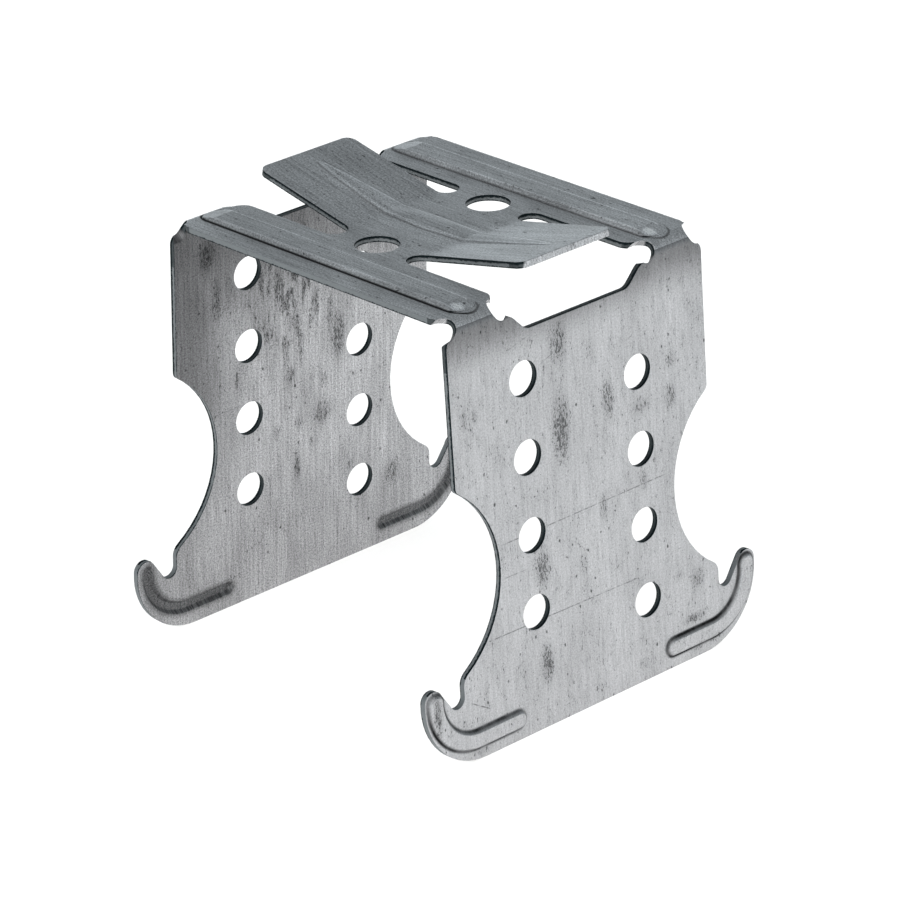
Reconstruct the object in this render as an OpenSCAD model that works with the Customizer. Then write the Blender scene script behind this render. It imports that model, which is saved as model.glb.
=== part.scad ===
// Cross clip for two levels of drywall ceiling profile, stamped from one
// sheet of zinc-coated steel and bent to a bridge with two hooked legs.
// The bridge lies over the upper profile, and the hooks of both legs
// spring in under the lips of the lower profile, which runs crosswise.
//
// Frame: X from leg to leg, Y across the legs, Z up. The origin is on the
// ground, centred between the bottom edges of the legs.

/* [Sheet] */
// Thickness of the sheet
sheet_t = 0.8; // [0.6:0.05:1.2]
// Inside radius where the bridge turns down into a leg
bend_r = 1; // [0.5:0.1:2]

/* [Bridge] */
// Clear span between the legs, measured at the top
span = 47; // [44:0.5:60]
// Distance from the middle to the inner edge of a rail
rail_inner = 11; // [10:0.1:12]
// Distance from the middle to the outer edge of a rail
rail_outer = 20.9; // [20.4:0.1:21.2]
// Radius of the outer corners of a rail
rail_corner_r = 1.1; // [0.4:0.1:1.8]
// Radius of the inner corners of a rail, towards the tongues
rail_inner_corner_r = 1.8; // [0.4:0.1:2.4]
// Distance from the middle to the inner edge of a neck
neck_inner = 13.6; // [13:0.1:14]
// Distance from the middle to the outer edge of a neck
neck_outer = 19.2; // [18.8:0.1:19.8]
// Gap between the end of a rail and the start of the bend
rail_gap = 0.3; // [0.05:0.05:1]
// Radius at the bottom of the bend reliefs
relief_r = 1.5; // [1.2:0.1:1.8]
// Diameter of the two holes in the crosspiece
web_hole_d = 5.6; // [3:0.1:7]
// Distance between the centres of those holes
web_hole_gap = 18.5; // [16:0.1:20]
// Width of the slots between tongues and rails
slot_w = 3.4; // [2.4:0.1:5]
// Half the length of the crosspiece between the round slot ends
cross_half = 5.85; // [5:0.05:8]

/* [Tongues] */
// Distance from the middle to where a tongue starts to bend up
tongue_root = 6.3; // [5:0.1:7]
// Angle of a tongue above the bridge
tongue_angle = 12; // [4:0.1:20]
// Inside radius of the tongue's bend
tongue_bend_r = 6; // [2:0.5:10]
// Length of the straight part of a tongue
tongue_len = 15.9; // [10:0.1:17]
// Radius of the two corners at a tongue's tip
tongue_corner_r = 1.3; // [0.5:0.1:3]

/* [Pressed beads] */
// Width of a rail's bead at its foot
rail_bead_w = 4.3; // [3:0.1:5]
// Height of a rail's bead
rail_bead_h = 0.5; // [0.2:0.05:0.6]
// Half the length of a rail's bead
rail_bead_reach = 22.8; // [18:0.1:23]
// Length over which its crest ramps down to each end
rail_bead_ramp = 2.6; // [0.5:0.1:4]
// Width of its sloping walls, seen from above
rail_bead_wall = 0.6; // [0.2:0.05:1]
// Radius of the round bead along the tongues
mid_bead_r = 6.2; // [4:0.1:9]
// Height of that bead on the crosspiece
mid_bead_h = 0.4; // [0.2:0.05:0.6]
// Length over which it runs out on a tongue
mid_bead_fade = 14.5; // [8:0.5:20]
// Width of a hook's bead at its foot
hook_bead_w = 2.5; // [1.6:0.1:2.8]
// Height of a hook's bead
hook_bead_h = 0.5; // [0.2:0.05:0.6]
// Width of its sloping walls
hook_bead_wall = 0.4; // [0.2:0.05:0.8]
// Distance from the leg's middle to the inner end of a hook's bead
hook_bead_start = 12.2; // [8:0.1:16]
// Height of that bead's straight run above the bottom edge
hook_bead_rise = 2.75; // [2:0.05:4]
// Radius of that bead's turn, at its middle line
hook_bead_turn = 6.6; // [5:0.1:7.5]
// Width of the flat rim between that bead and the side of the hook
hook_bead_rim = 0.4; // [0.2:0.05:1]
// Distance between the turn's end and the bead's round end
hook_bead_tail = 0.3; // [0.1:0.1:0.8]

/* [Legs] */
// Length of a leg, from the top of the bridge to the bottom edge
leg_len = 55.7; // [50:0.1:80]
// Angle that each leg leans outwards
leg_splay = 2.75; // [0:0.25:5]
// Width of a leg's upper part
leg_w = 42.4; // [42:0.1:46]
// Gap between the end of the bend and a leg's shoulders
shoulder_gap = 0.1; // [0.05:0.05:1]
// Radius of the leg's top corners
leg_corner_r = 1.3; // [0.5:0.1:2]
// Depth of the window between the necks, below the top of the bridge
window_drop = 4.25; // [3:0.05:5]
// Width of that window at its bottom
window_w = 17; // [12:0.1:18]
// Slope of the window's sides
window_slope = 45; // [35:1:70]
// Radius of the window's corners
window_r = 1.7; // [0.3:0.1:2]
// Radius of the shoulders beside the window
shoulder_r = 2; // [0.3:0.1:2.4]
// Radius of the round waist cut from each side
waist_r = 13.85; // [12:0.05:15]
// Width of the leg between the waist cuts
waist_w = 29.6; // [28:0.1:34]
// Height of the waist above the bottom edge
waist_rise = 23.1; // [22:0.1:26]
// Radius where the waist meets the side of the leg
waist_corner_r = 1; // [0.4:0.1:2]

/* [Hooks] */
// Radius of the hook's outside
hook_r = 9.3; // [8.8:0.1:10]
// Distance from the leg's middle to the centre of that radius
hook_centre = 19; // [18.4:0.1:19.6]
// Radius of the hook's tip
tip_r = 1.4; // [1:0.1:1.8]
// Angle of the tip above the centre of the hook's outside
tip_angle = 4; // [0:1:12]
// Distance from the leg's middle to the centre of the throat
throat_centre = 23.05; // [22.5:0.05:23.5]
// Height of the throat's centre above the bottom edge
throat_rise = 8.85; // [8.4:0.05:9.4]
// Radius of the throat
throat_r = 1.2; // [0.9:0.05:1.4]
// Radius of the corner between throat and waist
throat_corner_r = 1.8; // [0.8:0.1:2.4]

/* [Leg holes] */
// Diameter of the holes in the legs
leg_hole_d = 4.5; // [3:0.1:6]
// Distance between the two columns
leg_hole_columns = 18.8; // [16:0.1:20]
// Distance between holes in a column
leg_hole_pitch = 10; // [8:0.1:11]
// Holes in each column
leg_hole_count = 4; // [1:1:4]
// Depth of the first hole of the upper column, below the top of the bridge
leg_hole_drop = 10.2; // [9:0.1:14]
// How much lower the other column sits
leg_hole_stagger = 5; // [0:0.1:6]

/* [Hidden] */
$fn = 96;
steel = [0.72, 0.73, 0.74];
over = 1;
arc_step = 6;

bend_outer = bend_r + sheet_t;
turn = 90 - leg_splay;
setback = bend_outer * tan(turn / 2);
corner_x = span / 2 + sheet_t;
bend_x = corner_x - setback;
bridge_top = leg_len * cos(leg_splay) + sheet_t * sin(leg_splay);
relief_a = (90 + leg_splay) / 2;
relief_y = [neck_inner - relief_r, neck_outer + relief_r];

slot_end_r = slot_w / 2;
slot_y = rail_inner - slot_end_r;
slot_x = cross_half + slot_end_r;
tongue_half = rail_inner - slot_w;
tongue_bend = tongue_bend_r * tan(tongue_angle / 2);
rail_y = (rail_inner + rail_outer) / 2;

// Points of an arc round c from angle a0 to a1, either way round.
function arc(c, r, a0, a1) =
    let (n = max(2, ceil(abs(a1 - a0) / arc_step)))
    [for (i = [0:n]) c + r * [cos(a0 + (a1 - a0) * i / n), sin(a0 + (a1 - a0) * i / n)]];

function unit(v) = v / norm(v);

// Points of a corner b between a and c, rounded to radius r.
function rounded(a, b, c, r) =
    let (
        p = unit(a - b),
        q = unit(c - b),
        half = acos(p * q) / 2,
        m = b + unit(p + q) * r / sin(half),
        s = b + p * r / tan(half) - m,
        e = b + q * r / tan(half) - m,
        a0 = atan2(s[1], s[0]),
        sweep = (atan2(e[1], e[0]) - a0 + 540) % 360 - 180
    )
    arc(m, r, a0, a0 + sweep);

function mirrored(points) = [for (i = [len(points) - 1:-1:0]) [-points[i][0], points[i][1]]];

module both_ways(points) {
    polygon(concat(points, mirrored(points)));
}

module both_ends() {
    for (side = [0, 1])
        mirror([side, 0, 0]) children();
}

// The sheet is drawn as its side view across the whole width, and the
// outlines seen square on to bridge and legs are cut out of that.
module across(width) {
    rotate([90, 0, 0])
        translate([0, 0, -width])
            linear_extrude(2 * width)
                children();
}

// Side view of bridge, bends and legs.
module folded_sheet() {
    centre = [bend_x, bridge_top - bend_outer];
    out = [cos(leg_splay), sin(leg_splay)];
    down = (leg_len + over) * [sin(leg_splay), -cos(leg_splay)];
    foot = [corner_x, bridge_top] + down;
    across(hook_centre + hook_r + over)
        both_ways(concat(
            arc(centre, bend_outer, 90, leg_splay),
            [foot, foot - sheet_t * out],
            arc(centre, bend_r, leg_splay, 90)
        ));
}

// Side view of the crosspiece with both tongues.
module tongue_sheet() {
    centre = [tongue_root, bridge_top + tongue_bend_r];
    along = (tongue_len + over) * [cos(tongue_angle), sin(tongue_angle)];
    up = [-sin(tongue_angle), cos(tongue_angle)];
    tip = centre - tongue_bend_r * up + along;
    across(rail_inner)
        both_ways(concat(
            arc(centre, tongue_bend_r, -90, tongue_angle - 90),
            [tip, tip - sheet_t * up],
            arc(centre, tongue_bend_r + sheet_t, tongue_angle - 90, -90)
        ));
}

leg_top = leg_len - setback - shoulder_gap;
waist_centre = [waist_w / 2 + waist_r, waist_rise];

// Height between the waist's centre and the centre of a corner of radius r
// that touches it.
function waist_touch(u, r) = sqrt(pow(waist_r + r, 2) - pow(waist_centre[0] - u, 2));

hook_c = [hook_centre, hook_r];
tip_c = hook_c + (hook_r - tip_r) * [cos(tip_angle), sin(tip_angle)];
throat_c = [throat_centre, throat_rise];
tip_to_throat = throat_c - tip_c;
tip_end = atan2(tip_to_throat[1], tip_to_throat[0]) + 360
    - acos((tip_r + throat_r) / norm(tip_to_throat));

low_u = throat_centre - throat_r - throat_corner_r;
low_c = [low_u, waist_rise - waist_touch(low_u, throat_corner_r)];
low_a = atan2(waist_centre[1] - low_c[1], waist_centre[0] - low_c[0]);

high_u = leg_w / 2 - waist_corner_r;
high_c = [high_u, waist_rise + waist_touch(high_u, waist_corner_r)];
high_a = atan2(high_c[1] - waist_centre[1], waist_centre[0] - high_c[0]);

window_low = [window_w / 2, leg_len - window_drop];
window_high = [
    window_low[0] + (leg_top - window_low[1]) / tan(window_slope),
    leg_top
];

// One half of the leg's outline, from the bottom edge round to the top.
half_leg = concat(
    arc(hook_c, hook_r, -90, tip_angle),
    arc(tip_c, tip_r, tip_angle, tip_end),
    arc(throat_c, throat_r, tip_end - 180, -180),
    arc(low_c, throat_corner_r, 0, low_a),
    arc(waist_centre, waist_r, low_a + 180, 180 - high_a),
    arc(high_c, waist_corner_r, -high_a, 0),
    arc([leg_w / 2 - leg_corner_r, leg_top - leg_corner_r], leg_corner_r, 0, 90),
    rounded([leg_w / 2, leg_top], window_high, window_low, shoulder_r),
    rounded(window_high, window_low, [0, window_low[1]], window_r)
);

// Places a leg drawn flat, with its outer face at z = 0, at the +X side.
module stand_up() {
    translate([corner_x, 0, bridge_top])
        rotate([0, -leg_splay, 0])
            translate([0, 0, -leg_len])
                rotate([90, 0, 90])
                    children();
}

// Half of a bead's section: flat crest and sloping wall. The foot is where
// the wall passes the face of the sheet, and the root lies below.
module half_bead(width, height, wall, depth) {
    root = width / 2 + wall * depth / height;
    polygon([
        [0, -depth],
        [root, -depth],
        [width / 2 - wall, height],
        [0, height]
    ]);
}

module whole_bead(width, height, wall, depth) {
    for (side = [0, 1])
        mirror([side, 0]) half_bead(width, height, wall, depth);
}

// The groove behind a bead is narrower on each side, so that the sheet
// keeps its thickness in the sloping walls.
function inset(height, wall) = sheet_t * tan(atan(height / wall) / 2);

module hook_bead_half(groove) {
    narrower = groove ? 2 * inset(hook_bead_h, hook_bead_wall) : 0;
    translate([0, groove ? -sheet_t : 0])
        half_bead(hook_bead_w - narrower, hook_bead_h, hook_bead_wall, groove ? over : sheet_t / 3);
}

module hook_bead_section(groove) {
    for (side = [0, 1])
        mirror([side, 0]) hook_bead_half(groove);
}

// A hook's bead: straight along the bottom edge, then round the hook and
// up into its tip.
module hook_bead(groove) {
    start = hook_bead_start + hook_bead_w / 2;
    translate([start, hook_bead_rise, 0]) {
        rotate_extrude() hook_bead_half(groove);
        rotate([90, 0, 90])
            linear_extrude(bead_turn_u - start)
                hook_bead_section(groove);
    }
    translate([bead_turn_u, hook_bead_rise + hook_bead_turn, 0]) {
        rotate([0, 0, -90])
            rotate_extrude(angle = 90)
                translate([hook_bead_turn, 0])
                    hook_bead_section(groove);
        translate([hook_bead_turn, 0, 0]) {
            rotate([90, 0, 180])
                linear_extrude(hook_bead_tail)
                    hook_bead_section(groove);
            translate([0, hook_bead_tail, 0])
                rotate_extrude() hook_bead_half(groove);
        }
    }
}

// The bead keeps a narrow rim between itself and the hook's edge.
bead_turn_u = hook_centre + hook_r - hook_bead_rim - hook_bead_w / 2 - hook_bead_turn;

// What a leg keeps of the folded sheet, seen square on.
module leg_outline() {
    stand_up()
        translate([0, 0, -sheet_t - over])
            linear_extrude(sheet_t + 2 * over)
                both_ways(half_leg);
}

module leg_holes() {
    stand_up()
        for (side = [-1, 1], i = [0:leg_hole_count - 1]) {
            lower = side > 0 ? leg_hole_stagger : 0;
            drop = leg_hole_drop + lower + i * leg_hole_pitch;
            translate([side * leg_hole_columns / 2, leg_len - drop, -sheet_t - over])
                cylinder(d = leg_hole_d, h = sheet_t + 2 * over);
        }
}

// What the two necks of the +X side keep of the folded sheet.
module neck_outline() {
    for (side = [0, 1])
        mirror([0, side, 0])
            translate([bend_x - over, relief_y[0], bridge_top - setback - over])
                cube([setback + 2 * over, relief_y[1] - relief_y[0], setback + 2 * over]);
}

// The round bottoms of the reliefs beside the necks, through the bend.
module reliefs() {
    for (side = [0, 1], y = relief_y)
        mirror([0, side, 0])
            translate([bend_x, y, bridge_top - bend_outer])
                rotate([0, 90 - relief_a, 0])
                    cylinder(r = relief_r, h = bend_outer + over);
}

// What the bridge keeps of a flat sheet, seen from above.
module from_above() {
    translate([0, 0, bridge_top - sheet_t - over])
        linear_extrude(sheet_t + 2 * over)
            children();
}

// One rail seen from above, with its rounded ends.
module rail() {
    end = bend_x - rail_gap;
    both_ways(concat(
        rounded([0, rail_inner], [end, rail_inner], [end, rail_y], rail_inner_corner_r),
        rounded([end, rail_y], [end, rail_outer], [0, rail_outer], rail_corner_r)
    ));
}

module openings() {
    for (x = [-slot_x, slot_x], y = [-slot_y, slot_y])
        translate([x, y])
            circle(r = slot_end_r);
    for (side = [-1, 1])
        translate([0, side * web_hole_gap / 2])
            circle(d = web_hole_d);
}

// Both rails and the crosspiece as far as it is flat.
module rails_outline() {
    joint = slot_y - slot_end_r / 4;
    difference() {
        for (side = [0, 1])
            mirror([0, side]) {
                rail();
                translate([-slot_x, joint])
                    square([2 * slot_x, rail_y - joint]);
                translate([-cross_half / 2, 0])
                    square([cross_half, rail_y]);
            }
        openings();
    }
}

// The crosspiece as wide as the slots' middles, and the tongues' roots.
module roots_outline() {
    reach = tongue_root + 2 * tongue_bend;
    difference() {
        union() {
            translate([-reach, -tongue_half])
                square([2 * reach, 2 * tongue_half]);
            translate([-slot_x, -slot_y])
                square([2 * slot_x, 2 * slot_y]);
        }
        openings();
    }
}

// Places the tongue of the +X side drawn flat, with x = 0 at the bend.
module tilt_up() {
    translate([tongue_root + tongue_bend, 0, bridge_top])
        rotate([0, -tongue_angle, 0])
            children();
}

// The straight part of a tongue, with its rounded tip.
module tongue_outline() {
    tip = tongue_bend + tongue_len;
    tilt_up()
        translate([0, 0, -sheet_t - over])
            linear_extrude(sheet_t + 2 * over)
                polygon(concat(
                    [[tongue_bend / 2, tongue_half], [tongue_bend / 2, -tongue_half]],
                    rounded([0, -tongue_half], [tip, -tongue_half], [tip, 0], tongue_corner_r),
                    rounded([tip, 0], [tip, tongue_half], [0, tongue_half], tongue_corner_r)
                ));
}

// A rail's bead. It ramps down to round ends.
module rail_bead(groove) {
    depth = groove ? over : sheet_t / 3;
    width = rail_bead_w - (groove ? 2 * inset(rail_bead_h, rail_bead_wall) : 0);
    reach = rail_bead_reach - (groove ? inset(rail_bead_h, rail_bead_ramp) : 0);
    half_root = width / 2 + rail_bead_wall * depth / rail_bead_h;
    straight = reach - half_root;
    translate([0, rail_y, bridge_top - (groove ? sheet_t : 0)])
        intersection() {
            rotate([90, 0, 90])
                translate([0, 0, -reach - over])
                    linear_extrude(2 * (reach + over))
                        whole_bead(width, rail_bead_h, rail_bead_wall, depth);
            across(rail_bead_w)
                both_ways([
                    [reach - rail_bead_ramp, rail_bead_h],
                    [reach + rail_bead_ramp * depth / rail_bead_h, -depth]
                ]);
            translate([0, 0, -2 * over])
                linear_extrude(4 * over) {
                    translate([-straight, -half_root - over / 4])
                        square([2 * straight, 2 * half_root + over / 2]);
                    for (x = [-straight, straight])
                        translate([x, 0])
                            circle(r = half_root);
                }
        }
}

// The bead along crosspiece and tongues: a shallow round ridge that sinks
// back into each tongue. The groove under it shares its axis.
module mid_bead(groove) {
    r = mid_bead_r - (groove ? sheet_t : 0);
    low = groove ? -2 * over : -sheet_t / 3;
    half = tongue_root + tongue_bend;
    translate([0, 0, bridge_top])
        intersection() {
            rotate([0, 90, 0])
                translate([mid_bead_r - mid_bead_h, 0, -half])
                    cylinder(r = r, h = 2 * half);
            translate([-half - over, -mid_bead_r, low])
                cube([2 * (half + over), 2 * mid_bead_r, 4 * over]);
        }
    both_ends()
        tilt_up()
            intersection() {
                rotate([0, 90 + atan(mid_bead_h / mid_bead_fade), 0])
                    translate([mid_bead_r - mid_bead_h, 0, -over])
                        cylinder(r = r, h = mid_bead_fade + 2 * over);
                translate([-2 * over, -mid_bead_r, low])
                    cube([mid_bead_fade + 3 * over, 2 * mid_bead_r, 4 * over]);
            }
}

module beads(groove) {
    for (side = [0, 1])
        mirror([0, side, 0]) rail_bead(groove);
    mid_bead(groove);
    both_ends()
        stand_up()
            for (side = [0, 1])
                mirror([side, 0, 0]) hook_bead(groove);
}

module cross_clip() {
    color(steel)
        difference() {
            union() {
                intersection() {
                    folded_sheet();
                    union() {
                        from_above() rails_outline();
                        both_ends() {
                            leg_outline();
                            neck_outline();
                        }
                    }
                }
                intersection() {
                    tongue_sheet();
                    union() {
                        translate([0, 0, bridge_top - sheet_t - over])
                            linear_extrude(leg_len / 2)
                                roots_outline();
                        both_ends() tongue_outline();
                    }
                }
                beads(groove = false);
            }
            beads(groove = true);
            both_ends() {
                reliefs();
                leg_holes();
            }
        }
}

cross_clip();
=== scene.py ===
import math

import bpy
from mathutils import Matrix, Vector

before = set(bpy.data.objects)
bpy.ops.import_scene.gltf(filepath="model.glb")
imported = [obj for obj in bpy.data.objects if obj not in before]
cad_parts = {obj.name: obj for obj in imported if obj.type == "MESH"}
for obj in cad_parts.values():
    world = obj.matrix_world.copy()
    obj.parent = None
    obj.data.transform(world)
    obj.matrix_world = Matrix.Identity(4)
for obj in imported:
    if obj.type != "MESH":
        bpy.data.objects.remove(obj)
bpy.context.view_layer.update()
scene = bpy.context.scene

# The clip: one piece of cold-rolled steel strip, 0.8 mm thick, zinc coated,
# stamped and folded. Its rolling direction runs over the bridge and down
# both legs, so every line of the finish follows the strip round the bends.

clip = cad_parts["cross_clip"]


def linear(code):
    """The linear colour of an sRGB hex code such as "7e8184"."""
    parts = [int(code[i:i + 2], 16) / 255 for i in (0, 2, 4)]
    return [c / 12.92 if c <= 0.04045 else ((c + 0.055) / 1.055) ** 2.4 for c in parts] + [1.0]


def add(tree, kind, links=None, out=0, **settings):
    """Adds a node with its settings and its linked or set inputs, and gives one of its outputs."""
    node = tree.nodes.new(kind)
    for name, value in settings.items():
        setattr(node, name, value)
    for socket, value in (links or {}).items():
        if isinstance(value, bpy.types.NodeSocket):
            tree.links.new(value, node.inputs[socket])
        else:
            node.inputs[socket].default_value = value
    return node.outputs[out] if node.outputs else node


# Zinc-coated steel, cold rolled: a satin grey metal that mirrors softly, with fine lines along
# the strip, grime from the rolls and the press, and painted shade and highlights.
steel = bpy.data.materials.new("rolled_zinc_coated_steel")
steel.use_nodes = True
tree = steel.node_tree
tree.nodes.clear()
MATH, VECTOR, MIX = "ShaderNodeMath", "ShaderNodeVectorMath", "ShaderNodeMix"
RANGE, NOISE, XYZ = "ShaderNodeMapRange", "ShaderNodeTexNoise", "ShaderNodeCombineXYZ"
SMOOTH = {"interpolation_type": "SMOOTHSTEP"}

# Where a point lies on the strip, in mm: along it, across it, and how far
# below the top of the bridge.
MM = 1000.0
BRIDGE_TOP = 55.6742
BRIDGE_DEPTH = 0.9
place = add(tree, "ShaderNodeTexCoord", out="Object")
in_mm = add(tree, VECTOR, {0: place, "Scale": MM}, operation="SCALE")
x, y, z = (add(tree, "ShaderNodeSeparateXYZ", {0: in_mm}, out=axis) for axis in "XYZ")
side = add(tree, MATH, {0: x}, operation="SIGN")
reach = add(tree, MATH, {0: x}, operation="ABSOLUTE")
across = add(tree, MATH, {0: y}, operation="ABSOLUTE")
below = add(tree, MATH, {0: BRIDGE_TOP, 1: z}, operation="SUBTRACT")
along = add(tree, MATH, {0: side, 1: below, 2: x}, operation="MULTIPLY_ADD")
on_bridge = add(tree, MATH, {0: below, 1: BRIDGE_DEPTH}, operation="LESS_THAN")

# The strip's own normal and depth: straight up on the bridge, outwards on
# the legs, turning round the bend's centre between them. The rise of the
# tongues is taken off first.
SHEET = 0.8
BEND_START = 22.586
BEND_OUTER = 1.8
LEG_SPLAY = math.tan(math.radians(2.75))
TONGUE_BEND = 6.93
TONGUE_SLOPE = math.tan(math.radians(12))
TONGUE_HALF = 7.65
lean = add(tree, MATH, {0: below, 1: BEND_OUTER}, operation="SUBTRACT")
lean = add(tree, MATH, {0: lean, 1: 0.0}, operation="MAXIMUM")
outwards = add(tree, MATH, {0: lean, 1: -LEG_SPLAY, 2: reach}, operation="MULTIPLY_ADD")
outwards = add(tree, MATH, {0: outwards, 1: BEND_START}, operation="SUBTRACT")
outwards = add(tree, MATH, {0: outwards, 1: 0.0}, operation="MAXIMUM")
outwards = add(tree, MATH, {0: outwards, 1: side}, operation="MULTIPLY")
on_tongue = add(tree, MATH, {0: across, 1: TONGUE_HALF}, operation="LESS_THAN")
on_tongue = add(tree, MATH, {0: on_tongue, 1: on_bridge}, operation="MULTIPLY")
rise = add(tree, MATH, {0: reach, 1: TONGUE_BEND}, operation="SUBTRACT")
rise = add(tree, MATH, {0: rise, 1: 0.0}, operation="MAXIMUM")
rise = add(tree, MATH, {0: rise, 1: TONGUE_SLOPE}, operation="MULTIPLY")
rise = add(tree, MATH, {0: rise, 1: on_tongue}, operation="MULTIPLY")
upwards = add(tree, MATH, {0: below, 1: rise}, operation="ADD")
upwards = add(tree, MATH, {0: BEND_OUTER, 1: upwards}, operation="SUBTRACT")
upwards = add(tree, MATH, {0: upwards, 1: 0.0}, operation="MAXIMUM")
outward = add(tree, XYZ, {"X": outwards, "Z": upwards})
depth = add(tree, VECTOR, {0: outward}, out="Value", operation="LENGTH")
depth = add(tree, MATH, {0: BEND_OUTER, 1: depth}, operation="SUBTRACT")
outward = add(tree, VECTOR, {0: outward}, operation="NORMALIZE")
facing = add(tree, "ShaderNodeNewGeometry", out="True Normal")
face = add(tree, VECTOR, {0: facing, 1: outward}, out="Value", operation="DOT_PRODUCT")
outer = add(tree, MATH, {0: face, 1: 0.0}, operation="GREATER_THAN")
inner = add(tree, MATH, {0: 1.0, 1: outer}, operation="SUBTRACT")

# The patterns' place, moved far off for the outer face, so that the two
# faces don't share their marks.
FACES_APART = 40.0
layer = add(tree, MATH, {0: outer, 1: FACES_APART}, operation="MULTIPLY")
strip = add(tree, XYZ, {"X": along, "Y": y, "Z": layer})

# On a leg: across it and down from the bridge, seen from the marked face.
flip = add(tree, RANGE, {0: outer, 3: -1.0, 4: 1.0})
flip = add(tree, MATH, {0: flip, 1: side}, operation="MULTIPLY")
leg_y = add(tree, MATH, {0: y, 1: flip}, operation="MULTIPLY")
leg_place = add(tree, XYZ, {"X": leg_y, "Y": below})

# Lines left by the rolls, 10 mm long. The real ones lie under 0.05 mm apart,
# too fine to show, and are drawn 0.3 mm apart. Grains of 0.2 mm between them
# stand for the zinc's, and clouds of 17 x 6 mm for its uneven grey.
LINES_PER_MM = (0.1, 3.2, 1.0)
GRAINS_PER_MM = 4.5
CLOUDS_PER_MM = (0.06, 0.16, 1.0)
fine = add(tree, VECTOR, {0: strip, 1: LINES_PER_MM}, operation="MULTIPLY")
lines = add(tree, NOISE, {"Vector": fine, "Scale": 1.0, "Detail": 4.0, "Roughness": 0.65})
grain = add(tree, NOISE, {
    "Vector": strip, "Scale": GRAINS_PER_MM, "Detail": 2.0, "Roughness": 0.7,
})
texture = add(tree, MIX, {"Factor": 0.65, "A": lines, "B": grain}, data_type="FLOAT")
cloud_place = add(tree, VECTOR, {0: strip, 1: CLOUDS_PER_MM}, operation="MULTIPLY")
clouds = add(tree, NOISE, {
    "Vector": cloud_place, "Scale": 1.0, "Detail": 5.0, "Roughness": 0.6, "Distortion": 0.4,
})
mottled = add(tree, MATH, {0: inner, 1: on_bridge}, operation="MAXIMUM")
uneven = add(tree, MATH, {0: texture, 1: 0.5}, operation="SUBTRACT")
contrast = add(tree, RANGE, {0: mottled, 3: 1.8, 4: 3.6})
tone = add(tree, MATH, {0: uneven, 1: contrast, 2: 1.0}, operation="MULTIPLY_ADD")
cloudy = add(tree, MATH, {0: clouds, 1: 0.5}, operation="SUBTRACT")
patchy = add(tree, RANGE, {0: mottled, 3: 0.45, 4: 0.95})
cloudy = add(tree, MATH, {0: cloudy, 1: patchy, 2: 1.0}, operation="MULTIPLY_ADD")
tone = add(tree, MATH, {0: tone, 1: cloudy}, operation="MULTIPLY")
tone = add(tree, MATH, {0: tone, 1: 0.3}, operation="MAXIMUM")

# Blots of roll grime, made up of scribbles 0.6 mm long and 0.2 mm wide that
# crowd where a smudge is strong and thin out around it.
SCRIBBLE_STRETCH = (0.6, 1.7, 1.0)
SCRIBBLES_PER_MM = 2.6
scribble_place = add(tree, VECTOR, {0: strip, 1: SCRIBBLE_STRETCH}, operation="MULTIPLY")
scribbles = add(tree, NOISE, {
    "Vector": scribble_place, "Scale": SCRIBBLES_PER_MM,
    "Detail": 3.0, "Roughness": 0.7, "Distortion": 1.0,
})


def smudges(spots):
    """Soft patches on a leg: place across and down, half width, half length, strength."""
    total = 0.0
    for at_y, at_below, half_width, half_length, strength in spots:
        middle = (at_y, at_below, 0.0)
        shrink = (1 / half_width, 1 / half_length, 0.0)
        offset = add(tree, VECTOR, {0: leg_place, 1: middle}, operation="SUBTRACT")
        offset = add(tree, VECTOR, {0: offset, 1: shrink}, operation="MULTIPLY")
        near = add(tree, VECTOR, {0: offset}, out="Value", operation="LENGTH")
        patch = add(tree, RANGE, {0: near, 1: 0.2, 2: 1.3, 3: strength, 4: 0.0}, **SMOOTH)
        total = add(tree, MATH, {0: patch, 1: total}, operation="MAXIMUM")
    return total


outer_grime = smudges([
    (-3.5, 7.5, 1.8, 3.6, 0.8), (-3.7, 18.5, 1.7, 5.4, 1.0), (4.3, 17.0, 1.3, 3.4, 0.8),
    (9.6, 19.6, 2.2, 1.6, 0.6), (15.1, 15.4, 1.4, 1.4, 0.6), (14.8, 20.0, 1.3, 2.2, 0.8),
    (-19.2, 12.3, 0.6, 1.7, 0.7), (-17.6, 12.4, 0.6, 1.4, 0.6), (9.7, 29.4, 0.8, 1.8, 0.6),
    (2.7, 30.7, 0.8, 2.4, 0.7), (-8.0, 34.9, 1.7, 3.6, 0.9), (-8.0, 47.4, 1.5, 3.4, 0.9),
    (-1.2, 36.9, 0.9, 1.8, 0.5), (18.2, 45.3, 1.5, 1.7, 0.7), (14.9, 43.8, 0.8, 1.0, 0.6),
    (8.3, 53.3, 1.2, 1.0, 0.5), (17.5, 54.4, 1.3, 0.8, 0.7), (-26.7, 47.2, 0.8, 3.6, 1.0),
    (17.3, 50.3, 2.4, 0.8, 0.9), (21.0, 54.0, 2.0, 0.9, 0.7), (-19.5, 54.6, 2.4, 0.8, 0.6),
])
inner_grime = smudges([
    (-16.1, 6.0, 1.8, 2.6, 1.0), (-14.5, 12.3, 1.1, 3.4, 0.8), (-4.4, 13.5, 0.9, 3.2, 0.9),
    (-1.9, 19.0, 1.4, 1.8, 0.7), (1.8, 17.5, 1.0, 2.6, 0.8), (5.7, 23.4, 1.4, 4.0, 1.0),
    (-11.4, 24.4, 0.35, 1.5, 1.0), (-2.5, 26.6, 1.2, 1.6, 0.8), (3.3, 28.8, 0.9, 1.2, 0.6),
    (2.9, 33.5, 2.2, 2.0, 0.8), (-1.1, 33.5, 0.9, 1.4, 0.6), (-5.0, 33.7, 0.9, 1.4, 0.6),
    (-1.5, 39.7, 0.7, 2.4, 0.9), (1.0, 37.0, 0.5, 0.9, 0.7), (7.7, 42.4, 0.6, 0.9, 0.6),
    (15.1, 45.8, 1.6, 2.4, 0.8),
])

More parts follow.
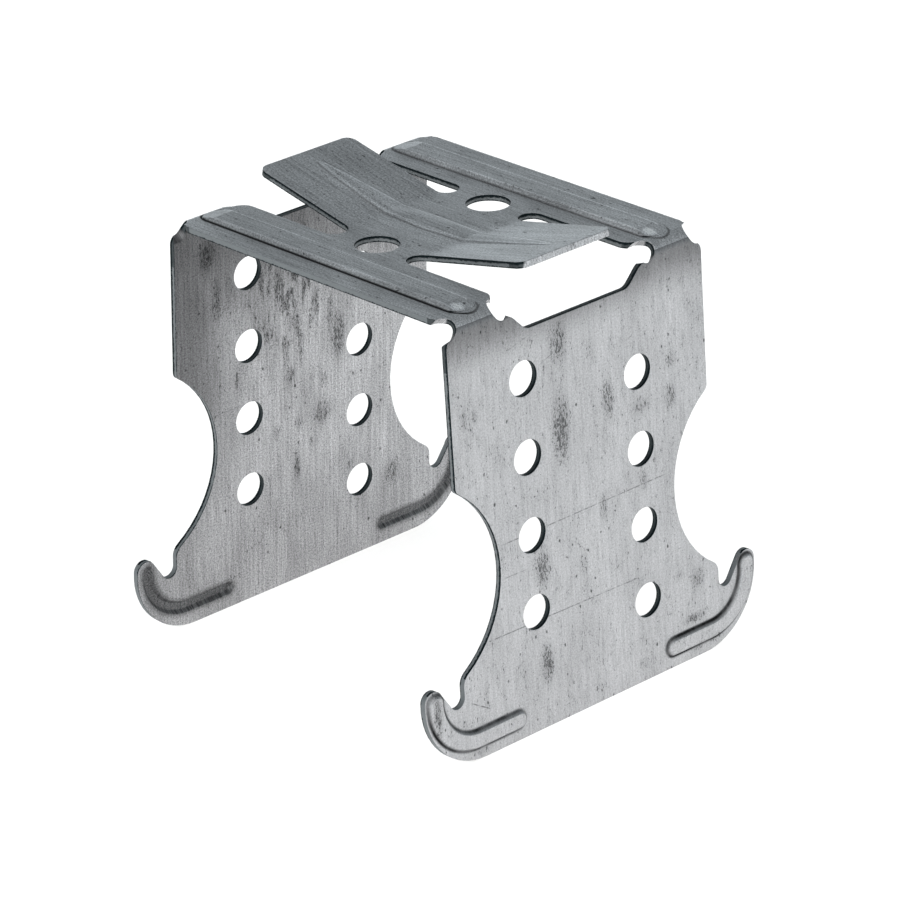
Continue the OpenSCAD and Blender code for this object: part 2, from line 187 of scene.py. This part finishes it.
# Looser streaks of 4 x 1.2 mm between the blots, thickest on the upper part
# of the inner faces. Under the scribbles lies an even haze.
STREAKS_PER_MM = (0.24, 0.8, 1.0)
streak_place = add(tree, VECTOR, {0: strip, 1: STREAKS_PER_MM}, operation="MULTIPLY")
streaks = add(tree, NOISE, {
    "Vector": streak_place, "Scale": 1.0, "Detail": 4.0, "Roughness": 0.7, "Distortion": 0.3,
})
streaks = add(tree, RANGE, {0: streaks, 1: 0.49, 2: 0.6}, **SMOOTH)
stained = smudges([(-1.5, 14.0, 11.0, 13.0, 1.0)])
stained = add(tree, RANGE, {0: stained, 3: 0.2, 4: 1.0})
outer_loose = add(tree, MATH, {0: streaks, 1: 0.3}, operation="MULTIPLY")
inner_loose = add(tree, MATH, {0: streaks, 1: stained}, operation="MULTIPLY")
outer_grime = add(tree, MATH, {0: outer_grime, 1: outer_loose}, operation="MAXIMUM")
inner_grime = add(tree, MATH, {0: inner_grime, 1: inner_loose}, operation="MAXIMUM")
smudge = add(tree, MIX, {"Factor": outer, "A": inner_grime, "B": outer_grime}, data_type="FLOAT")
crowded = add(tree, MATH, {0: smudge, 1: 0.19, 2: scribbles}, operation="MULTIPLY_ADD")
grime = add(tree, RANGE, {0: crowded, 1: 0.635, 2: 0.7, 3: 0.0, 4: 0.9})
haze = add(tree, MATH, {0: smudge, 1: 0.3}, operation="MULTIPLY")
grime = add(tree, MATH, {0: grime, 1: haze}, operation="MAXIMUM")

# Painted shade: the inner faces are darker towards one side of the legs, up
# under the bridge, deep in the bend and low down, and the outer ones just below the bend.
painted_shade = add(tree, RANGE, {0: leg_y, 1: -19.0, 2: -8.0, 3: 0.58, 4: 0.0}, **SMOOTH)
fades = add(tree, RANGE, {0: below, 1: 26.0, 2: 42.0, 3: 1.0, 4: 0.4})
painted_shade = add(tree, MATH, {0: painted_shade, 1: fades}, operation="MULTIPLY")
shade_under_bridge = add(tree, RANGE, {0: below, 1: 3.0, 2: 24.0, 3: 0.66, 4: 0.04}, **SMOOTH)
shade_low_down = add(tree, RANGE, {0: below, 1: 34.0, 2: 48.0, 3: 0.0, 4: 0.2}, **SMOOTH)
inner_shade = add(tree, MATH, {0: painted_shade, 1: shade_under_bridge}, operation="MAXIMUM")
inner_shade = add(tree, MATH, {0: inner_shade, 1: shade_low_down}, operation="MAXIMUM")
# Painted shade deep in the bend of the inner faces.
bend_shade = add(tree, RANGE, {0: below, 1: 1.6, 2: 3.6, 3: 0.85, 4: 0.0})
inner_shade = add(tree, MATH, {0: inner_shade, 1: bend_shade}, operation="MAXIMUM")
outer_shade = add(tree, RANGE, {0: below, 1: 1.5, 2: 8.0, 3: 0.58, 4: 0.0}, **SMOOTH)
painted_shade = add(tree, MIX, {"Factor": outer, "A": inner_shade, "B": outer_shade}, data_type="FLOAT")
off_bridge = add(tree, MATH, {0: 1.0, 1: on_bridge}, operation="SUBTRACT")
painted_shade = add(tree, MATH, {0: painted_shade, 1: off_bridge}, operation="MULTIPLY")

# Pits: dark specks of up to 0.5 x 0.3 mm, one to each 1.4 x 0.9 mm, and a
# third of them too small to see.
PITS_PER_MM = (0.7, 1.1, 1.0)
warp = add(tree, NOISE, {"Vector": strip, "Scale": 2.5}, out="Color")
pit_place = add(tree, VECTOR, {0: warp, 1: (0.35, 0.35, 0.0), 2: strip}, operation="MULTIPLY_ADD")
pit_place = add(tree, VECTOR, {0: pit_place, 1: PITS_PER_MM}, operation="MULTIPLY")
cells = {"Vector": pit_place, "Scale": 1.0, "Randomness": 1.0}
pits = add(tree, "ShaderNodeTexVoronoi", cells, out="Distance")
chosen = add(tree, "ShaderNodeTexVoronoi", cells, out="Color")
chosen = add(tree, "ShaderNodeSeparateColor", {0: chosen}, out="Red")
pit_size = add(tree, RANGE, {0: chosen, 1: 0.35, 2: 1.0, 3: 0.0, 4: 0.24})
pits = add(tree, MATH, {0: pit_size, 1: pits}, operation="SUBTRACT")
pits = add(tree, RANGE, {0: pits, 1: 0.0, 2: 0.12, 3: 0.0, 4: 0.9})


def scratches(strokes):
    """Fine straight scratches on a leg, 0.15 mm wide, from point to point, with a strength."""
    total = 0.0
    for start, end, strength in strokes:
        run = Vector(end) - Vector(start)
        middle = (Vector(end) + Vector(start)) / 2
        line = run.normalized()
        centre = (middle.x, middle.y, 0.0)
        ahead = (line.x, line.y, 0.0)
        aside = (-line.y, line.x, 0.0)
        offset = add(tree, VECTOR, {0: leg_place, 1: centre}, operation="SUBTRACT")
        off_line = add(tree, VECTOR, {0: offset, 1: aside}, out="Value", operation="DOT_PRODUCT")
        off_line = add(tree, MATH, {0: off_line}, operation="ABSOLUTE")
        thin = add(tree, RANGE, {0: off_line, 1: 0.03, 2: 0.11, 3: strength, 4: 0.0})
        on_line = add(tree, VECTOR, {0: offset, 1: ahead}, out="Value", operation="DOT_PRODUCT")
        on_line = add(tree, MATH, {0: on_line}, operation="ABSOLUTE")
        half = run.length / 2
        ends = add(tree, RANGE, {0: on_line, 1: half - 1, 2: half, 3: 1.0, 4: 0.0})
        stroke = add(tree, MATH, {0: thin, 1: ends}, operation="MULTIPLY")
        total = add(tree, MATH, {0: stroke, 1: total}, operation="MAXIMUM")
    return total


outer_scratches = scratches([
    ((-14.7, 29.8), (13.8, 29.8), 0.7), ((-17.8, 41.2), (8.2, 41.7), 0.7),
    ((-14.7, 34.1), (-10.1, 34.2), 0.5), ((-6.9, 9.4), (-3.5, 8.2), 0.7),
    ((-21.1, 47.9), (-17.5, 50.0), 0.8), ((-13.0, 6.2), (-8.0, 5.2), 0.3),
])
inner_scratches = scratches([
    ((-19.6, 9.7), (-16.8, 14.1), 0.3), ((-18.6, 9.4), (-16.0, 13.4), 0.3),
    ((-20.9, 28.1), (4.3, 27.9), 0.3),
])
broken = add(tree, NOISE, {"Vector": strip, "Scale": 0.9, "Detail": 2.0})
broken = add(tree, RANGE, {0: broken, 1: 0.42, 2: 0.55, 3: 0.25, 4: 1.0})
scratched = add(tree, MIX, {
    "Factor": outer, "A": inner_scratches, "B": outer_scratches,
}, data_type="FLOAT")
scratched = add(tree, MATH, {0: scratched, 1: broken}, operation="MULTIPLY")


def line_at(distance, middle, core, rim, strength):
    """A soft line where a distance in mm has one value, full in its core and gone at its rim."""
    off = add(tree, MATH, {0: distance, 1: middle}, operation="SUBTRACT")
    off = add(tree, MATH, {0: off}, operation="ABSOLUTE")
    return add(tree, RANGE, {0: off, 1: core, 2: rim, 3: strength, 4: 0.0})


# Painted shade with grime round the foot of the two long beads, darkest along
# the -Y side, and a painted highlight along the edges of each crest.
RAIL_MIDDLE = 15.95
RAIL_BEAD_HALF = 2.15
RAIL_CREST_HALF = 1.5
RAIL_TURN = 21.2
HIGHLIGHT_REACH = 21.0
off_middle = add(tree, MATH, {0: across, 1: RAIL_MIDDLE}, operation="SUBTRACT")
off_middle = add(tree, MATH, {0: off_middle}, operation="ABSOLUTE")
past_end = add(tree, MATH, {0: reach, 1: RAIL_TURN}, operation="SUBTRACT")
past_end = add(tree, MATH, {0: past_end, 1: 0.0}, operation="MAXIMUM")
off_rail = add(tree, XYZ, {"X": past_end, "Y": off_middle})
off_rail = add(tree, VECTOR, {0: off_rail}, out="Value", operation="LENGTH")
foot_shade_and_grime = line_at(off_rail, RAIL_BEAD_HALF, core=0.08, rim=0.24, strength=1.0)
darkest = add(tree, RANGE, {0: y, 1: -17.0, 2: -15.0, 3: 1.0, 4: 0.65})
foot_shade_and_grime = add(tree, MATH, {0: foot_shade_and_grime, 1: darkest}, operation="MULTIPLY")
foot_shade_and_grime = add(tree, MATH, {0: foot_shade_and_grime, 1: on_bridge}, operation="MULTIPLY")
crest_highlight = line_at(off_middle, RAIL_CREST_HALF, core=0.05, rim=0.2, strength=1.0)
crest_highlight = add(tree, MATH, {0: crest_highlight, 1: on_bridge}, operation="MULTIPLY")
highlight_end = add(tree, MATH, {0: reach, 1: HIGHLIGHT_REACH}, operation="LESS_THAN")
painted_highlight = add(tree, MATH, {0: crest_highlight, 1: highlight_end}, operation="MULTIPLY")

# Painted shade at the foot and a painted highlight along the crest of the
# round ridge of the tongues, which narrows to its ends.
RIDGE_REACH = 21.0
RIDGE_HALF = 2.2
ridge_fade = add(tree, RANGE, {0: reach, 1: 0.0, 2: RIDGE_REACH, 3: 1.0, 4: 0.0})
ridge_half = add(tree, MATH, {0: ridge_fade, 1: 0.5}, operation="POWER")
ridge_half = add(tree, MATH, {0: ridge_half, 1: RIDGE_HALF}, operation="MULTIPLY")
off_ridge = add(tree, MATH, {0: across, 1: ridge_half}, operation="SUBTRACT")
on_ridge = add(tree, MATH, {0: ridge_fade, 1: 0.03}, operation="GREATER_THAN")
on_ridge = add(tree, MATH, {0: on_ridge, 1: on_bridge}, operation="MULTIPLY")
ridge_foot_shade = line_at(across, ridge_half, core=0.05, rim=0.25, strength=0.35)
ridge_foot_shade = add(tree, MATH, {0: ridge_foot_shade, 1: on_ridge}, operation="MULTIPLY")
foot_shade_and_grime = add(tree, MATH, {0: foot_shade_and_grime, 1: ridge_foot_shade}, operation="MAXIMUM")
ridge_highlight = line_at(off_ridge, -0.4, core=0.05, rim=0.3, strength=0.7)
ridge_highlight = add(tree, MATH, {0: ridge_highlight, 1: on_ridge}, operation="MULTIPLY")
painted_highlight = add(tree, MATH, {0: painted_highlight, 1: ridge_highlight}, operation="MAXIMUM")

# A painted highlight, a spot 2 mm across, on the +X end of each long bead.
SPOT_X = 21.5
SPOT_ASIDE = -0.65
spot_side = add(tree, MATH, {0: y}, operation="SIGN")
spot_y = add(tree, MATH, {0: spot_side, 1: RAIL_MIDDLE, 2: SPOT_ASIDE}, operation="MULTIPLY_ADD")
spot_y = add(tree, MATH, {0: y, 1: spot_y}, operation="SUBTRACT")
off_spot = add(tree, MATH, {0: x, 1: SPOT_X}, operation="SUBTRACT")
off_spot = add(tree, XYZ, {"X": off_spot, "Y": spot_y})
off_spot = add(tree, VECTOR, {0: off_spot}, out="Value", operation="LENGTH")
spot_highlight = add(tree, RANGE, {0: off_spot, 1: 0.2, 2: 1.2, 3: 6.0, 4: 0.0}, **SMOOTH)
spot_highlight = add(tree, MATH, {0: spot_highlight, 1: texture}, operation="MULTIPLY")
painted_highlight = add(tree, MATH, {0: painted_highlight, 1: spot_highlight}, operation="MAXIMUM")

# Distance from the middle line of a hook's bead: a straight run that starts
# at RUN_START, then a turn round a point beside the leg up to the bead's end.
TURN_Y, TURN_Z, TURN_R = 20.05, 9.35, 6.6
RUN_START = 13.45
TURN_TAIL = 0.3
start_gap = add(tree, MATH, {0: RUN_START, 1: across}, operation="SUBTRACT")
start_gap = add(tree, MATH, {0: start_gap, 1: 0.0}, operation="MAXIMUM")
off_run = add(tree, MATH, {0: z, 1: TURN_Z - TURN_R}, operation="SUBTRACT")
off_run = add(tree, XYZ, {"X": start_gap, "Y": off_run})
off_run = add(tree, VECTOR, {0: off_run}, out="Value", operation="LENGTH")
from_turn = add(tree, MATH, {0: across, 1: TURN_Y}, operation="SUBTRACT")
under_turn = add(tree, MATH, {0: z, 1: TURN_Z}, operation="SUBTRACT")
past_turn = add(tree, MATH, {0: under_turn, 1: TURN_TAIL}, operation="SUBTRACT")
past_turn = add(tree, MATH, {0: past_turn, 1: 0.0}, operation="MAXIMUM")
under_turn = add(tree, MATH, {0: under_turn, 1: 0.0}, operation="MINIMUM")
off_turn = add(tree, XYZ, {"X": from_turn, "Y": under_turn})
off_turn = add(tree, VECTOR, {0: off_turn}, out="Value", operation="LENGTH")
off_turn = add(tree, MATH, {0: off_turn, 1: TURN_R}, operation="SUBTRACT")
off_turn = add(tree, XYZ, {"X": off_turn, "Y": past_turn})
off_turn = add(tree, VECTOR, {0: off_turn}, out="Value", operation="LENGTH")
turning = add(tree, MATH, {0: from_turn, 1: 0.0}, operation="GREATER_THAN")
off_bead = add(tree, MIX, {"Factor": turning, "A": off_run, "B": off_turn}, data_type="FLOAT")

# Painted shade with grime beside that bead on the outer face, thinned in places,
# and painted shade with grime in the hollow behind it on the inner one.
HOOK_BEAD_HALF = 1.25
bead_foot_shade_and_grime = line_at(off_bead, HOOK_BEAD_HALF, core=0.08, rim=0.34, strength=1.0)
thinned = add(tree, RANGE, {0: clouds, 1: 0.35, 2: 0.6, 3: 0.4, 4: 1.0})
bead_foot_shade_and_grime = add(tree, MATH, {0: bead_foot_shade_and_grime, 1: thinned}, operation="MULTIPLY")
bead_foot_shade_and_grime = add(tree, MATH, {0: bead_foot_shade_and_grime, 1: outer}, operation="MULTIPLY")
hollow_shade_and_grime = add(tree, RANGE, {0: off_bead, 1: 0.6, 2: 1.7, 3: 0.6, 4: 0.0}, **SMOOTH)
hollow_shade_and_grime = add(tree, MATH, {0: hollow_shade_and_grime, 1: inner}, operation="MULTIPLY")
hollow_texture = add(tree, RANGE, {0: texture, 1: 0.35, 2: 0.65, 3: 1.15, 4: 0.75})
hollow_shade_and_grime = add(tree, MATH, {0: hollow_shade_and_grime, 1: hollow_texture}, operation="MULTIPLY")

# The sheet's colour: zinc grey, with all the dark marks together, grime and
# painted shade, each as dark as it gets, then the legs' painted shade, and the painted highlights
# brighter.
ZINC = "b5b5b7"
marks = [add(tree, MATH, {0: mark, 1: darkness}, operation="MULTIPLY") for mark, darkness in (
    (grime, 0.8), (pits, 0.85), (scratched, 0.75), (foot_shade_and_grime, 0.95), (bead_foot_shade_and_grime, 0.95), (hollow_shade_and_grime, 1.0),
)]
dirt_and_shade = marks[0]
for mark in marks[1:]:
    dirt_and_shade = add(tree, MATH, {0: mark, 1: dirt_and_shade}, operation="MAXIMUM")
unmarked = add(tree, MATH, {0: 1.0, 1: dirt_and_shade}, operation="SUBTRACT")
# What the painted shade of the legs leaves of the tone.
unshaded = add(tree, MATH, {0: 1.0, 1: painted_shade}, operation="SUBTRACT")
tone = add(tree, MATH, {0: tone, 1: unmarked}, operation="MULTIPLY")
tone = add(tree, MATH, {0: tone, 1: unshaded}, operation="MULTIPLY")
# The painted highlights brighten the tone.
highlight_gain = add(tree, RANGE, {0: painted_highlight, 3: 1.0, 4: 1.45}, clamp=False)
tone = add(tree, MATH, {0: tone, 1: highlight_gain}, operation="MULTIPLY")
sheet = add(tree, VECTOR, {0: linear(ZINC)[:3], "Scale": tone}, operation="SCALE")

# Sheared edges, found by their slant to the strip's own normal: black along both
# faces with painted shade and grime, and bare in between, torn every 0.5 mm or so.
EDGE_SHADE_AND_GRIME = "1c2629"
TORN_STEEL = "8e9294"
TEARS_PER_MM = 2.0
slant = add(tree, MATH, {0: face}, operation="ABSOLUTE")
cut = add(tree, RANGE, {0: slant, 1: 0.3, 2: 0.45, 3: 1.0, 4: 0.0})
torn = add(tree, NOISE, {
    "Vector": in_mm, "Scale": TEARS_PER_MM, "Detail": 3.0, "Roughness": 0.7,
})
wander = add(tree, RANGE, {0: torn, 1: 0.3, 2: 0.7, 3: -0.1, 4: 0.1})
torn_depth = add(tree, MATH, {0: depth, 1: wander}, operation="ADD")
bare = add(tree, RANGE, {0: torn_depth, 1: 0.26, 2: 0.4, 3: 0.0, 4: 1.0})

# On the rims of the bridge and the hooks they are bare from the outer face.
RAIL_SIDE = 20.4
HOOK_SIDE = 21.5
HOOK_TOP = 11.0
rim = add(tree, MATH, {0: across, 1: RAIL_SIDE}, operation="GREATER_THAN")
rim = add(tree, MATH, {0: rim, 1: on_bridge}, operation="MULTIPLY")
hook_rim = add(tree, MATH, {0: z, 1: HOOK_TOP}, operation="LESS_THAN")
hook_side = add(tree, MATH, {0: across, 1: HOOK_SIDE}, operation="GREATER_THAN")
hook_rim = add(tree, MATH, {0: hook_rim, 1: hook_side}, operation="MULTIPLY")
rim = add(tree, MATH, {0: rim, 1: hook_rim}, operation="MAXIMUM")
bare = add(tree, MATH, {0: rim, 1: bare}, operation="MAXIMUM")
# A painted shadow under the burr: the bare band stops short of the inner face.
burr_shadow = add(tree, RANGE, {0: torn_depth, 1: SHEET - 0.18, 2: SHEET - 0.06, 3: 1.0, 4: 0.0})
bare = add(tree, MATH, {0: burr_shadow, 1: bare}, operation="MULTIPLY")

# Painted shade makes them almost black inside the punched holes and round the bends.
HOLES_SIDE = 12.5
BENDS_REACH = 21.0
BENDS_DROP = 6.0
in_hole = add(tree, MATH, {0: across, 1: HOLES_SIDE}, operation="LESS_THAN")
low_down = add(tree, MATH, {0: below, 1: BENDS_DROP}, operation="GREATER_THAN")
in_hole = add(tree, MATH, {0: in_hole, 1: low_down}, operation="MULTIPLY")
at_bend = add(tree, MATH, {0: reach, 1: BENDS_REACH}, operation="GREATER_THAN")
near_top = add(tree, MATH, {0: below, 1: BENDS_DROP}, operation="LESS_THAN")
at_bend = add(tree, MATH, {0: at_bend, 1: near_top}, operation="MULTIPLY")
at_bend = add(tree, MATH, {0: at_bend, 1: 0.8}, operation="MULTIPLY")
hole_and_bend_shade = add(tree, MATH, {0: in_hole, 1: at_bend}, operation="MAXIMUM")
greyer = add(tree, RANGE, {0: hole_and_bend_shade, 3: 0.85, 4: 0.15})
bare = add(tree, MATH, {0: bare, 1: greyer}, operation="MULTIPLY")
edge = add(tree, MIX, {
    "Factor": bare, "A": linear(EDGE_SHADE_AND_GRIME), "B": linear(TORN_STEEL),
}, out="Result", data_type="RGBA")
colour = add(tree, MIX, {
    "Factor": cut, "A": sheet, "B": edge,
}, out="Result", data_type="RGBA")

# Rolled zinc is satin: fairly even gloss, duller where the grime and the painted shade lie. The
# press rounds its corners by 0.2 mm, and the lines are 0.02 mm deep.
roughness = add(tree, RANGE, {0: texture, 1: 0.3, 2: 0.7, 3: 0.38, 4: 0.46})
roughness = add(tree, MATH, {0: dirt_and_shade, 1: 0.25, 2: roughness}, operation="MULTIPLY_ADD")
roughness = add(tree, MATH, {0: cut, 1: 0.25, 2: roughness}, operation="MULTIPLY_ADD")
softened = add(tree, "ShaderNodeBevel", {"Radius": 0.2 / MM}, samples=6)
relief = add(tree, "ShaderNodeBump", {
    "Height": texture, "Distance": 0.02 / MM, "Strength": 0.6, "Normal": softened,
})
shader = add(tree, "ShaderNodeBsdfPrincipled", {
    "Base Color": colour, "Metallic": 1.0, "Roughness": roughness, "Normal": relief,
})
add(tree, "ShaderNodeOutputMaterial", {"Surface": shader})

for slot in clip.material_slots:
    slot.material = steel

# The floor: a plain sheet of white paper that the clip stands on. It is
# matt, with no gloss to see.
bpy.ops.mesh.primitive_plane_add(size=6.0)
floor = bpy.context.object
floor.name = "paper_floor"
paper = bpy.data.materials.new("white_paper")
paper.use_nodes = True
paper_shader = paper.node_tree.nodes["Principled BSDF"]
paper_shader.inputs["Base Color"].default_value = linear("f6f6f6")
paper_shader.inputs["Roughness"].default_value = 0.9
floor.data.materials.append(paper)

# Studio light: a dim surround, lighter at the horizon, and a soft box over
# the camera. A second lamp there, which the steel doesn't mirror, whitens
# the paper, whose light the legs mirror. Neither casts a shadow, because the
# photograph is a cut-out on white.
studio = bpy.data.worlds.new("studio")
studio.use_nodes = True
scene.world = studio
walls = studio.node_tree
direction = add(walls, "ShaderNodeTexCoord", out="Generated")
height = add(walls, "ShaderNodeSeparateXYZ", {0: direction}, out="Z")
horizon = add(walls, RANGE, {0: height, 1: 0.0, 2: 0.22, 3: 1.1, 4: 0.0}, **SMOOTH)
ceiling = add(walls, RANGE, {0: height, 1: 0.2, 2: 0.6, 3: 0.64, 4: 0.4})
dimness = add(walls, MATH, {0: horizon, 1: ceiling}, operation="ADD")
backdrop = walls.nodes["Background"]
backdrop.inputs["Color"].default_value = linear("e8f2f6")
walls.links.new(dimness, backdrop.inputs["Strength"])

aim = Vector((0.0, 0.0, 0.03))
for name, watts, mirrored in (("softbox", 18.0, True), ("paper_light", 74.0, False)):
    lamp = bpy.data.lights.new(name, "AREA")
    lamp.size = 2.6
    lamp.energy = watts
    lamp.color = linear("fffdfb")[:3]
    lamp.use_shadow = False
    stand = bpy.data.objects.new(name, lamp)
    stand.location = (0.55, -0.9, 1.2)
    stand.rotation_euler = (aim - stand.location).to_track_quat("-Z", "Y").to_euler()
    stand.visible_glossy = mirrored
    stand.visible_camera = False
    scene.collection.objects.link(stand)

# The camera: a long lens, three quarters from the front and above. The top
# of the bridge lies 2 mm left of the picture's middle and 27 mm above it.
azimuth, elevation, roll = (math.radians(a) for a in (47.04, 24.19, -1.71))
DISTANCE = 0.5762
TO_THE_RIGHT = 0.00203
DOWN = 0.02741
forward = Vector((
    -math.sin(azimuth) * math.cos(elevation),
    math.cos(azimuth) * math.cos(elevation),
    -math.sin(elevation),
))
level = Vector((math.cos(azimuth), math.sin(azimuth), 0.0))
upward = level.cross(forward)
right = level * math.cos(roll) + upward * math.sin(roll)
up = upward * math.cos(roll) - level * math.sin(roll)
bridge_top = Vector((0, 0, BRIDGE_TOP / MM))
eye = right * TO_THE_RIGHT - up * DOWN - forward * DISTANCE + bridge_top
lens = bpy.data.cameras.new("long_lens")
lens.sensor_width = 36.0
lens.lens = 190.46
camera = bpy.data.objects.new("camera", lens)
turn = Matrix((right, up, -forward)).transposed().to_4x4()
camera.matrix_world = Matrix.Translation(eye) @ turn
scene.collection.objects.link(camera)
scene.camera = camera
scene.view_settings.view_transform = "Standard"
